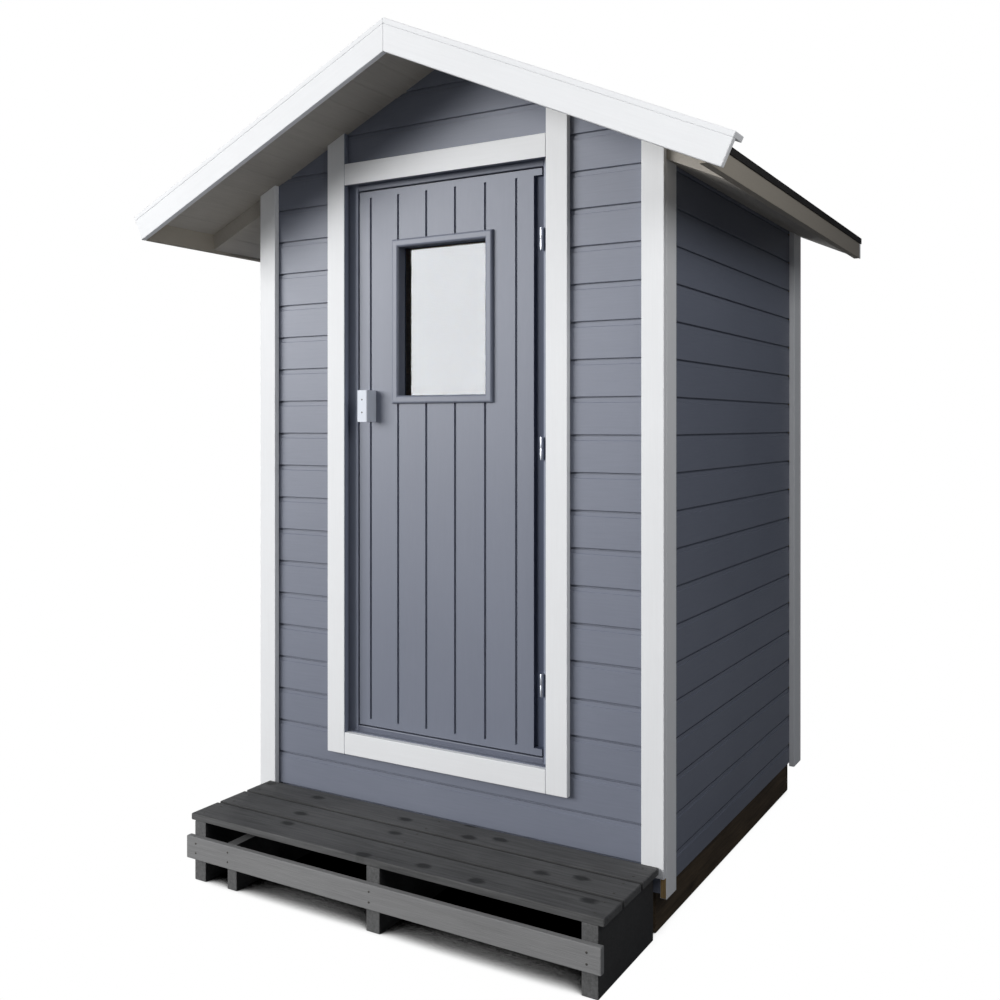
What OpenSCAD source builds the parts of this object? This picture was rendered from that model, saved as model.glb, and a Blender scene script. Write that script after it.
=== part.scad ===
// Wooden outhouse with a gable roof, a boarded door with a small window, and a
// free-standing step. Millimetres, +Z up, the door faces -Y. The origin is on the
// ground, below the middle of the whole outline.

/* [Cabin] */
// Width over the siding, left to right
cabin_w = 1488; // [1200:4:1900]
// Depth over the siding, front to back
cabin_d = 1440; // [1150:5:1900]
// Thickness of the siding boards
siding_t = 20; // [14:1:28]
// Depth of the wall frame behind the siding
stud_t = 45; // [34:1:98]
// Height of the floor's upper face above the ground
floor_top = 411; // [330:1:520]
// Thickness of the floor boards
floor_board_t = 21; // [18:1:32]
// Number of floor joists
joist_count = 6; // [5:1:9]
// Thickness of a floor joist
joist_t = 45; // [36:1:60]

/* [Base] */
// Height of the base timbers
base_h = 145; // [95:1:200]
// Width of the base timbers
base_w = 98; // [80:1:150]
// How far the siding laps down over the base timbers
siding_lap = 17; // [5:1:40]

/* [Trim] */
// Thickness of the casing and corner boards
trim_t = 21; // [15:1:28]
// Width of a corner board seen from the front or the back
corner_w = 70; // [50:1:110]
// Width of a corner board's partner on the side wall, past the front board
corner_side_w = 77; // [50:1:110]
// Joint between the two boards of a corner
corner_joint = 0.5; // [0.3:0.1:2]
// Height of the front corner boards' lower ends above the ground
front_corner_bottom = 178; // [100:1:220]
// Height of the other corner boards' lower ends above the ground
corner_bottom = 114; // [60:1:150]
// Width of the casing boards round the door
casing_w = 73; // [55:1:110]
// How much of the door frame's sides the casing covers
casing_lap = 10; // [5:1:20]
// How much of the door frame's foot the casing covers
casing_foot_lap = 18; // [5:1:25]
// How much of the door frame's head the casing covers
casing_head_lap = 22; // [5:1:25]

/* [Door] */
// Width of the door frame
frame_w = 790; // [640:2:990]
// Height of the door frame
frame_h = 1890; // [1550:5:2290]
// Thickness of the frame members in front of the stop
frame_t = 38; // [30:1:60]
// Depth of the door frame, front to back
frame_d = 92; // [80:1:130]
// How far the frame and the leaf sit behind the siding's face
frame_setback = 19; // [5:1:19]
// How far the stop stands in from the frame
stop_t = 15; // [10:1:25]
// Thickness of the leaf
leaf_t = 40; // [34:1:55]
// Gap between the leaf and the frame or its stop
leaf_gap = 5; // [5:0.5:8]
// Gap between the leaf's free edge and the frame, wide enough for its corner to swing past
lock_gap = 7; // [7:0.5:10]

/* [Door window] */
// Width of the glass opening
window_w = 336; // [240:2:420]
// Height of the glass opening
window_h = 492; // [300:2:600]
// Distance from the leaf's top down to the glass opening
window_drop = 199; // [120:1:300]
// How far the window sits off the leaf's middle, towards the lock side
window_shift = 15; // [0:1:40]
// How far the glass sits behind the leaf's face
glass_setback = 29; // [15:1:30]
// Thickness of the glass
glass_t = 4; // [3:1:6]
// Depth of the rebate that holds the glass, past the opening
glass_rebate = 10; // [6:1:16]
// Width of the moulding round the window
moulding_w = 26; // [18:1:40]
// Thickness of the moulding
moulding_t = 12; // [8:1:20]

/* [Door hardware] */
// Height of one hinge
hinge_h = 70; // [50:2:120]
// Diameter of the hinge barrel
barrel_d = 12; // [10:1:18]
// Diameter of the hinge pin
pin_d = 7; // [5:0.5:9]
// Clearance round the hinge pin
pin_clearance = 0.5; // [0.2:0.1:1]
// Distance from the leaf's face forward to the hinge axis
hinge_proud = 7; // [6.5:0.5:10]
// Running clearance between the two halves of a hinge, and from the pin's tip
hinge_play = 1; // [0.5:0.5:2]
// Thickness of a hinge plate
hinge_plate_t = 2; // [1.5:0.5:3]
// Thickness of metal above the pin's bore
barrel_cap_t = 3; // [2:0.5:5]
// Length of a hinge plate behind the leaf's face
hinge_plate_l = 30; // [20:1:34]
// Distance from the leaf's end to the middle of the end hinges
hinge_inset = 219; // [120:1:300]
// How far the middle hinge sits above the leaf's middle
hinge_raise = 42; // [0:1:80]
// Width of the door pull
pull_w = 40; // [25:1:60]
// How far the door pull stands out from the leaf
pull_d = 50; // [30:1:60]
// Height of the door pull
pull_h = 106; // [70:1:160]
// Thickness of the door pull's bent plate
pull_t = 3; // [2:0.5:5]
// Distance from the leaf's free edge to the door pull
pull_inset = 29; // [15:1:60]
// Height of the door pull's middle above the leaf's lower end
pull_rise = 1079; // [900:1:1150]

/* [Roof] */
// Slope of the roof, in degrees
roof_pitch = 24.4; // [18:0.2:32]
// Height of wall between the head casing and the roof at the casing's outer edge
head_room = 72; // [20:1:200]
// How far the roof boards run past the front wall
front_overhang = 300; // [150:5:450]
// How far the roof boards run past the rear wall
rear_overhang = 40; // [20:5:300]
// From the right side's siding out to the eave board's face
eave_overhang = 246; // [120:2:350]
// How much further the left eave reaches
eave_left_extra = 43; // [0:1:60]
// How far the front barge boards' lower ends run past the right eave board
barge_past = 43; // [20:1:80]
// Height of a barge board, square to the slope
barge_h = 75; // [60:1:120]
// Thickness of a barge board
barge_t = 20; // [16:1:28]
// Width of the verge cap on top of the barge board
verge_cap_w = 65; // [45:1:100]
// Thickness of the verge cap
verge_cap_t = 16; // [10:1:24]
// Thickness of the roof boards
deck_t = 20; // [16:1:28]
// Thickness of the roofing felt
felt_t = 4; // [3:0.5:8]
// How far the felt hangs over the eave board
drip_h = 22; // [10:1:40]
// Thickness of the eave board
eave_board_t = 21; // [15:1:28]
// Width of the felt strip along the ridge
ridge_strip_w = 250; // [150:5:330]
// Bedding gap between sloping faces that lie on each other
bed_gap = 0.1; // [0.05:0.05:0.5]

/* [Step] */
// Width of the step
step_w = 1470; // [1200:5:1700]
// How far the step sits off the cabin's middle
step_shift = 15; // [0:1:30]
// Height of the step's upper face
step_top = 211; // [180:1:260]
// Width of one step board
step_board_w = 116; // [90:1:140]
// Number of step boards
step_board_count = 3; // [2:1:4]
// Gap between step boards
step_board_gap = 10; // [5:1:20]
// Thickness of the step boards
step_board_t = 21; // [18:1:32]
// Thickness of a step joist
step_joist_t = 48; // [36:1:60]
// Distance from the step boards' ends in to the outer joists
step_joist_inset = 17; // [0:1:60]
// Height of the front board of the step
skirt_h = 72; // [50:1:100]
// Thickness of the front board of the step
skirt_t = 21; // [15:1:28]
// Gap between the step boards and the front board
skirt_drop = 44; // [10:1:70]
// Width of the low bearer behind the front board
prop_w = 39; // [30:1:60]
// Distance from the outer joist's middle to the bearer's middle
prop_shift = 139; // [90:1:250]

/* [Hidden] */

siding_color = "#8c909c";
door_color = "#878b97";
frame_color = "#5c606c";
trim_color = "#ececec";
soffit_color = "#8f8b83";
felt_color = "#1d1a17";
base_color = "#4b3f31";
floor_color = "#a58a62";
step_color = "#555555";
skirt_color = "#7e7e7e";
metal_color = "#dfe2e8";
glass_color = "#b9c9d2";

EAST = 1;
WEST = -1;
cut_over = 1;

// Walls: the front siding's face lies at y = 0 before the whole part is centred
half_w = cabin_w / 2;
wall_t = siding_t + stud_t;
inner_x = half_w - wall_t;
frame_face_x = half_w - siding_t;
siding_bottom = base_h - siding_lap;
corner_x = half_w + trim_t;

// Door frame and leaf
frame_x = frame_w / 2;
frame_top = floor_top + frame_h;
frame_inner_x = frame_x - frame_t;
frame_front = frame_setback;
frame_back = frame_front + frame_d;
threshold_top = floor_top + frame_t;
head_bottom = frame_top - frame_t;
leaf_right = frame_inner_x - leaf_gap;
leaf_left = lock_gap - frame_inner_x;
leaf_bottom = threshold_top + leaf_gap;
leaf_top = head_bottom - leaf_gap;
leaf_back = frame_front + leaf_t;
stop_front = leaf_back + leaf_gap;

// Casing round the door
casing_in_x = frame_x - casing_lap;
casing_out_x = casing_in_x + casing_w;
casing_low = floor_top + casing_foot_lap - casing_w;
casing_head_low = frame_top - casing_head_lap;
casing_head_top = casing_head_low + casing_w;

// Window in the leaf
window_mid = -window_shift;
window_top = leaf_top - window_drop;
window_low = window_top - window_h;
glass_front = frame_front + glass_setback;
glass_back = glass_front + glass_t;
glass_grow = glass_rebate - 1;

// Hinges
hinge_x = (leaf_right + frame_inner_x) / 2;
hinge_y = frame_front - hinge_proud;
hinge_heights = [
    leaf_bottom + hinge_inset,
    (leaf_bottom + leaf_top) / 2 + hinge_raise,
    leaf_top - hinge_inset
];

// Door pull
pull_x = leaf_left + pull_inset;
pull_low = leaf_bottom + pull_rise - pull_h / 2;

// Roof: every layer is a height square to the slope above the barge boards' lower edges
slope_tan = tan(roof_pitch);
slope_cos = cos(roof_pitch);
slope_sin = sin(roof_pitch);
deck_low = barge_h - deck_t - felt_t;
deck_high = barge_h - felt_t;
felt_high = barge_h;
cap_low = barge_h + bed_gap;
cap_high = barge_h + verge_cap_t;
ridge_low = casing_head_top + head_room + casing_out_x * slope_tan - deck_low / slope_cos;
eave_x = half_w + eave_overhang;
barge_x = eave_x + barge_past;
roof_front = -front_overhang;
roof_rear = cabin_d + rear_overhang;

// Step
step_depth = step_board_count * step_board_w + (step_board_count - 1) * step_board_gap;
step_back = -trim_t;
step_front = step_back - step_depth;
step_under = step_top - step_board_t;
step_joist_x = step_w / 2 - step_joist_inset - step_joist_t / 2;
skirt_top = step_under - skirt_drop;
skirt_low = skirt_top - skirt_h;

// Whole outline, front to back
outline_front = min(step_front - skirt_t, roof_front - barge_t);
outline_rear = roof_rear + barge_t;
outline_mid = (outline_front + outline_rear) / 2;

// Height of a roof layer above the ground, h being its height over the barge's lower edge
function roof_z(x, h) = ridge_low + h / slope_cos - slope_tan * abs(x);

// Distance of an eave board's face from the middle of the cabin
function eave_at(side) = eave_x + (side == WEST ? eave_left_extra : 0);

// A box from its lowest to its highest corner
module box(low, high) {
    translate(low) cube(high - low);
}

// An upright outline in x and z, run from y0 to y1
module run_back(y0, y1, outline) {
    translate([0, y1, 0]) rotate([90, 0, 0]) linear_extrude(y1 - y0) polygon(outline);
}

// A board or wall from x0 to x1 whose top lies one bedding gap under roof layer h
module under_roof(x0, x1, y0, y1, low, h) {
    bed = h - bed_gap;
    peak = x0 < 0 && x1 > 0 ? [[0, roof_z(0, bed)]] : [];
    top = concat([[x1, roof_z(x1, bed)]], peak, [[x0, roof_z(x0, bed)]]);
    run_back(y0, y1, concat([[x0, low], [x1, low]], top));
}

// A piece on one side of the ridge
module on_side(side) {
    if (side == WEST) mirror([1, 0, 0]) children();
    else children();
}

// A sloping board from the ridge down to an end cut square to the slope
module slope_board(side, y0, y1, h0, h1) {
    foot = [barge_x, roof_z(barge_x, 0)];
    across = [slope_sin, slope_cos];
    ends = [foot + h0 * across, foot + h1 * across];
    on_side(side)
        run_back(y0, y1, concat([[0, roof_z(0, h0)]], ends, [[0, roof_z(0, h1)]]));
}

// ---- Base and floor

module base_side(side) {
    color(base_color) on_side(side)
        box([frame_face_x - base_w, siding_t, 0], [frame_face_x, cabin_d - siding_t, base_h]);
}

module base_cross(y0) {
    color(base_color)
        box([-(frame_face_x - base_w), y0, 0], [frame_face_x - base_w, y0 + base_w, base_h]);
}

module floor_joists() {
    first = wall_t;
    pitch = (cabin_d - 2 * wall_t - joist_t) / (joist_count - 1);
    color(base_color) for (i = [0 : joist_count - 1])
        box([-inner_x, first + i * pitch, base_h],
            [inner_x, first + i * pitch + joist_t, floor_top - floor_board_t]);
}

module floor_boards() {
    color(floor_color)
        box([-inner_x, wall_t, floor_top - floor_board_t],
            [inner_x, cabin_d - wall_t, floor_top]);
}

// ---- Walls

// One stretch of the front or rear wall: the siding skin and the frame behind it
module end_wall(x0, x1, low, skin0, skin1, core0, core1) {
    under_roof(x0, x1, skin0, skin1, min(low, siding_bottom), deck_low);
    under_roof(max(x0, -frame_face_x), min(x1, frame_face_x), core0, core1, low, deck_low);
    if (x0 <= -half_w) under_roof(x0, -frame_face_x, core0, core1, siding_bottom, deck_low);
    if (x1 >= half_w) under_roof(frame_face_x, x1, core0, core1, siding_bottom, deck_low);
}

module front_wall_side(side) {
    color(siding_color) on_side(side)
        end_wall(frame_x, half_w, base_h, 0, siding_t, siding_t, wall_t);
}

module front_wall_over_door() {
    color(siding_color) under_roof(-frame_x, frame_x, 0, wall_t, frame_top, deck_low);
}

module front_wall_under_door() {
    color(siding_color) {
        box([-frame_x, 0, siding_bottom], [frame_x, siding_t, floor_top]);
        box([-frame_x, siding_t, base_h], [frame_x, wall_t, floor_top]);
    }
}

module rear_wall() {
    back = cabin_d;
    color(siding_color)
        end_wall(-half_w, half_w, base_h, back - siding_t, back, back - wall_t, back - siding_t);
}

module side_wall(side) {
    color(siding_color) on_side(side) {
        under_roof(frame_face_x, half_w, wall_t, cabin_d - wall_t, siding_bottom, deck_low);
        under_roof(inner_x, frame_face_x, wall_t, cabin_d - wall_t, base_h, deck_low);
    }
}

// ---- Door frame

module door_jamb(side) {
    color(frame_color) on_side(side) {
        box([frame_inner_x, frame_front, floor_top], [frame_x, frame_back, frame_top]);
        box([frame_inner_x - stop_t, stop_front, threshold_top],
            [frame_inner_x, frame_back, head_bottom]);
    }
}

module door_head() {
    stop_x = frame_inner_x - stop_t;
    color(frame_color) {
        box([-frame_inner_x, frame_front, head_bottom], [frame_inner_x, frame_back, frame_top]);
        box([-stop_x, stop_front, head_bottom - stop_t], [stop_x, frame_back, head_bottom]);
    }
}

module door_threshold() {
    color(frame_color)
        box([-frame_inner_x, frame_front, floor_top],
            [frame_inner_x, frame_back, threshold_top]);
}

// ---- Door leaf and what is on it

// A block round the window opening, grown by an equal margin on every side
module window_block(margin, y0, y1) {
    box([window_mid - window_w / 2 - margin, y0, window_low - margin],
        [window_mid + window_w / 2 + margin, y1, window_top + margin]);
}

module door_leaf() {
    color(door_color) difference() {
        box([leaf_left, frame_front, leaf_bottom], [leaf_right, leaf_back, leaf_top]);
        window_block(0, frame_front - cut_over, leaf_back + cut_over);
        window_block(glass_rebate, glass_front, leaf_back + cut_over);
    }
}

module door_window_glass() {
    color(glass_color) window_block(glass_grow, glass_front, glass_back);
}

// The moulding on the leaf's face and the bead that holds the glass from inside
module door_window_trim() {
    color(door_color) {
        difference() {
            window_block(moulding_w, frame_front - moulding_t, frame_front);
            window_block(0, frame_front - moulding_t - cut_over, frame_front + cut_over);
        }
        difference() {
            window_block(glass_grow, glass_back, leaf_back);
            window_block(0, glass_back - cut_over, leaf_back + cut_over);
        }
    }
}

// A bent plate, open towards the leaf's free edge: foot, web and front flange
module door_pull() {
    high = pull_low + pull_h;
    front = frame_front - pull_d;
    right = pull_x + pull_w;
    color(metal_color) {
        box([pull_x, front, pull_low], [right, front + pull_t, high]);
        box([right - pull_t, front, pull_low], [right, frame_front, high]);
        box([pull_x, frame_front - pull_t, pull_low], [right, frame_front, high]);
    }
}

// ---- Hinges: the lower half with the pin is on the frame, the upper half on the leaf

module hinge_pins() {
    half_h = hinge_h / 2;
    pin_h = hinge_h - barrel_cap_t - hinge_play;
    color(metal_color) for (z = hinge_heights) {
        translate([hinge_x, hinge_y, z - half_h]) cylinder(h = half_h, d = barrel_d, $fn = 48);
        translate([hinge_x, hinge_y, z - half_h]) cylinder(h = pin_h, d = pin_d, $fn = 48);
        box([frame_inner_x - hinge_plate_t, hinge_y, z - half_h],
            [frame_inner_x, frame_front + hinge_plate_l, z]);
    }
}

module hinge_knuckles() {
    half_h = hinge_h / 2;
    bore_d = pin_d + 2 * pin_clearance;
    color(metal_color) for (z = hinge_heights) difference() {
        union() {
            translate([hinge_x, hinge_y, z + hinge_play])
                cylinder(h = half_h - hinge_play, d = barrel_d, $fn = 48);
            box([leaf_right, hinge_y, z + hinge_play],
                [leaf_right + hinge_plate_t, frame_front + hinge_plate_l, z + half_h]);
        }
        translate([hinge_x, hinge_y, z - cut_over])
            cylinder(h = half_h - barrel_cap_t + cut_over, d = bore_d, $fn = 48);
    }
}

// ---- Casing and corner boards

module casing_side(side) {
    color(trim_color) on_side(side)
        under_roof(casing_in_x, casing_out_x, -trim_t, 0, casing_low, deck_low);
}

module casing_cross(low) {
    color(trim_color)
        box([-casing_in_x, -trim_t, low], [casing_in_x, 0, low + casing_w]);
}

// The board on the end wall covers the edge of its partner on the side wall
module corner_boards(side, y_wall, outward, end_bottom) {
    outer = y_wall + outward * trim_t;
    near = y_wall - outward * corner_joint;
    far = y_wall - outward * corner_side_w;
    color(trim_color) on_side(side) {
        under_roof(corner_x - corner_w, corner_x, min(y_wall, outer), max(y_wall, outer),
                   end_bottom, deck_low);
        under_roof(half_w, corner_x, min(near, far), max(near, far), corner_bottom, 0);
    }
}

// ---- Roof

module roof_boards(side) {
    edge = eave_at(side) - eave_board_t;
    color(soffit_color) on_side(side)
        run_back(roof_front, roof_rear,
                 [[0, roof_z(0, deck_low)], [edge, roof_z(edge, deck_low)],
                  [edge, roof_z(edge, deck_high)], [0, roof_z(0, deck_high)]]);
}

// The felt covers the rear barge boards too
module roofing(side) {
    face_x = eave_at(side);
    lip_x = face_x + felt_t;
    lip_z = roof_z(lip_x, felt_high) - drip_h;
    under = deck_high + bed_gap;
    color(felt_color) on_side(side)
        run_back(roof_front, outline_rear,
                 [[0, roof_z(0, under)], [face_x, roof_z(face_x, under)],
                  [face_x, lip_z], [lip_x, lip_z],
                  [lip_x, roof_z(lip_x, felt_high)], [0, roof_z(0, felt_high)]]);
}

module ridge_strip() {
    reach = ridge_strip_w / 2 * slope_cos;
    strip_low = felt_high + bed_gap;
    strip_high = felt_high + felt_t;
    color(felt_color)
        run_back(roof_front - barge_t + verge_cap_w, outline_rear,
                 [[-reach, roof_z(reach, strip_low)], [0, roof_z(0, strip_low)],
                  [reach, roof_z(reach, strip_low)], [reach, roof_z(reach, strip_high)],
                  [0, roof_z(0, strip_high)], [-reach, roof_z(reach, strip_high)]]);
}

module barge_front(side) {
    color(trim_color) slope_board(side, roof_front - barge_t, roof_front, 0, barge_h);
}

// The rear barge boards end flush with the eave boards
module barge_rear(side) {
    face_x = eave_at(side);
    color(trim_color) on_side(side)
        run_back(roof_rear, outline_rear,
                 [[0, roof_z(0, 0)], [face_x, roof_z(face_x, 0)],
                  [face_x, roof_z(face_x, deck_high)], [0, roof_z(0, deck_high)]]);
}

module verge_cap_front(side) {
    front = roof_front - barge_t;
    color(trim_color) slope_board(side, front, front + verge_cap_w, cap_low, cap_high);
}

module eave_board(side) {
    face_x = eave_at(side);
    color(trim_color) on_side(side)
        under_roof(face_x - eave_board_t, face_x, roof_front, roof_rear,
                   roof_z(face_x, 0), deck_high);
}

// The closed box below the eaves, between the wall and the eave board
module eave_box(side) {
    edge = eave_at(side) - eave_board_t;
    high = deck_low - bed_gap;
    color(soffit_color) on_side(side)
        run_back(0, cabin_d,
                 [[half_w, roof_z(half_w, 0)], [edge, roof_z(edge, 0)],
                  [edge, roof_z(edge, high)], [half_w, roof_z(half_w, high)]]);
}

// ---- Step in front of the door

module step_boards() {
    pitch = step_board_w + step_board_gap;
    color(step_color) for (i = [0 : step_board_count - 1])
        box([step_shift - step_w / 2, step_front + i * pitch, step_under],
            [step_shift + step_w / 2, step_front + i * pitch + step_board_w, step_top]);
}

// The middle joist runs back to the siding, and the outer ones stop at the corner boards
module step_joists() {
    color(step_color) for (x = [-step_joist_x, 0, step_joist_x])
        box([step_shift + x - step_joist_t / 2, step_front, 0],
            [step_shift + x + step_joist_t / 2, x == 0 ? 0 : step_back, step_under]);
}

module step_skirt() {
    color(skirt_color)
        box([step_shift - step_w / 2, step_front - skirt_t, skirt_low],
            [step_shift + step_w / 2, step_front, skirt_top]);
}

// Low bearer from the front board to the cabin
module step_prop() {
    mid = step_shift - step_joist_x + prop_shift;
    color(step_color)
        box([mid - prop_w / 2, step_front, 0], [mid + prop_w / 2, step_back, skirt_top]);
}

// Centres the whole outline over the origin
module placed() {
    translate([0, -outline_mid, 0]) children();
}

placed() base_side(WEST);  // base_left
placed() base_side(EAST);  // base_right
placed() base_cross(siding_t);  // base_front
placed() base_cross(cabin_d - siding_t - base_w);  // base_rear
placed() floor_joists();
placed() floor_boards();  // floor
placed() front_wall_side(WEST);  // front_wall_left
placed() front_wall_side(EAST);  // front_wall_right
placed() front_wall_over_door();
placed() front_wall_under_door();
placed() side_wall(WEST);  // left_wall
placed() side_wall(EAST);  // right_wall
placed() rear_wall();
placed() door_jamb(WEST);  // door_jamb_lock_side
placed() door_jamb(EAST);  // door_jamb_hinge_side
placed() door_head();
placed() door_threshold();
placed() door_leaf();
placed() door_window_glass();
placed() door_window_trim();
placed() door_pull();
placed() hinge_pins();
placed() hinge_knuckles();
placed() casing_side(WEST);  // casing_left
placed() casing_side(EAST);  // casing_right
placed() casing_cross(casing_head_low);  // casing_head
placed() casing_cross(casing_low);  // casing_bottom
placed() corner_boards(WEST, 0, -1, front_corner_bottom);  // corner_boards_front_left
placed() corner_boards(EAST, 0, -1, front_corner_bottom);  // corner_boards_front_right
placed() corner_boards(WEST, cabin_d, 1, corner_bottom);  // corner_boards_rear_left
placed() corner_boards(EAST, cabin_d, 1, corner_bottom);  // corner_boards_rear_right
placed() roof_boards(WEST);  // roof_boards_left
placed() roof_boards(EAST);  // roof_boards_right
placed() roofing(WEST);  // roofing_left
placed() roofing(EAST);  // roofing_right
placed() ridge_strip();
placed() barge_front(WEST);  // barge_front_left
placed() barge_front(EAST);  // barge_front_right
placed() barge_rear(WEST);  // barge_rear_left
placed() barge_rear(EAST);  // barge_rear_right
placed() verge_cap_front(WEST);  // verge_cap_front_left
placed() verge_cap_front(EAST);  // verge_cap_front_right
placed() eave_board(WEST);  // eave_board_left
placed() eave_board(EAST);  // eave_board_right
placed() eave_box(WEST);  // eave_box_left
placed() eave_box(EAST);  // eave_box_right
placed() step_boards();
placed() step_joists();
placed() step_skirt();
placed() step_prop();
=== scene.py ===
import math

import bmesh
import bpy
import numpy as np
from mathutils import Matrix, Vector


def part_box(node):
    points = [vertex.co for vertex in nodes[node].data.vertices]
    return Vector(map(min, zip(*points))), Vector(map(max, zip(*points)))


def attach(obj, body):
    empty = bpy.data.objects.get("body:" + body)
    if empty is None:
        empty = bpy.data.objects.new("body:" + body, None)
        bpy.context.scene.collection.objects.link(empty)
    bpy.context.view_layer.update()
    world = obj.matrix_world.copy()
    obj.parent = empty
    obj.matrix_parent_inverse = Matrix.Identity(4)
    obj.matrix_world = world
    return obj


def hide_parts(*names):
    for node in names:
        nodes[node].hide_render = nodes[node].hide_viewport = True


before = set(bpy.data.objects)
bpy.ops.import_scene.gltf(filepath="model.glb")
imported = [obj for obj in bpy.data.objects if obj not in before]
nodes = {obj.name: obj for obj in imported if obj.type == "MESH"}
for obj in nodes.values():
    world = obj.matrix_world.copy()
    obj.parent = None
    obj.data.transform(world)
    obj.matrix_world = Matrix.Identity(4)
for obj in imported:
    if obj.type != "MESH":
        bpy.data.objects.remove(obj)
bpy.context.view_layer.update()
onX, onY, onZ = 0, 1, 2      # places of the three axes in a point
# metres within which two places count as one
near = {"place": 1e-4, "row": 1e-5, "merge": 1e-5, "weld": 2e-6, "plane": 1e-6}
squareOn = 0.6      # a face whose normal has more than this along an axis faces along it
print("frame:", len(nodes), "nodes")


# positions, all read from the frame

def pointsOf(node):
    return np.array([v.co for v in nodes[node].data.vertices], float).reshape(-1, 3)


def spanOf(node):  # lowest and highest corner of a node
    low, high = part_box(node)
    return np.array(low), np.array(high)


def readRoof():
    # the deck's underside: its height at the ridge, and its fall per metre from there to its edge
    deck = pointsOf("roof_boards_right")
    edge = deck[:, onX].max()
    ridge = deck[deck[:, onX] < near["place"], onZ].min()
    fall = (ridge - deck[deck[:, onX] > edge - near["place"], onZ].min()) / edge
    return {"ridge": ridge, "fall": fall, "angle": math.atan(fall)}


roof = readRoof()


# colours and nodes

def linearColour(code):
    # a channel up to 0.04045 is divided by 12.92, and above that ((c + 0.055) / 1.055) to the power 2.4
    c = np.array([int(code[i:i + 2], 16) for i in (1, 3, 5)]) / 255
    c = np.where(c <= 0.04045, c / 12.92, ((c + 0.055) / 1.055) ** 2.4)
    return (float(c[0]), float(c[1]), float(c[2]), 1.0)


def addNode(tree, kind, settings=None, links=None, stops=None):
    # adds a node, sets its sockets or properties, links sources to its sockets, and sets a ramp's stops
    node = tree.nodes.new(kind)
    for name, value in (settings or {}).items():
        if isinstance(name, str) and not (name in node.inputs):
            setattr(node, name, value)
        else:
            node.inputs[name].default_value = value
    for name, source in (links or {}).items():
        tree.links.new(source, node.inputs[name])
    if stops:
        ramp = node.color_ramp.elements
        for place, (at, colour) in enumerate(stops):
            stop = ramp[place] if place < 2 else ramp.new(at)
            stop.position, stop.color = at, colour
    return node


def newMaterial(name):
    material = bpy.data.materials.new(name)
    material.use_nodes = True
    tree = material.node_tree
    tree.nodes.clear()
    shader = addNode(tree, "ShaderNodeBsdfPrincipled")
    addNode(tree, "ShaderNodeOutputMaterial", links={"Surface": shader.outputs[0]})
    return material, tree, shader


upright = (0.0, math.pi / 2, 0.0)       # turns a board's length, along Z, onto the pattern's X
level = (0.0, 0.0, 0.0)
frontToBack = (0.0, 0.0, math.pi / 2)
slopeLeft = (0.0, roof["angle"], 0.0)
slopeRight = (0.0, -roof["angle"], 0.0)


grainLines = {"detail": 5.0, "coarse": 0.62, "waver": 0.6, "from": 0.35, "to": 0.72}
fibreLines = {"finer": 3.2, "detail": 3.0, "coarse": 0.7, "roughen": 0.07}
blotches = {"scale": 2.6, "detail": 3.0, "from": 0.3, "to": 0.7}
knotWobble = {"scale": 60.0, "detail": 2.0, "reach": 0.012}


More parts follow.
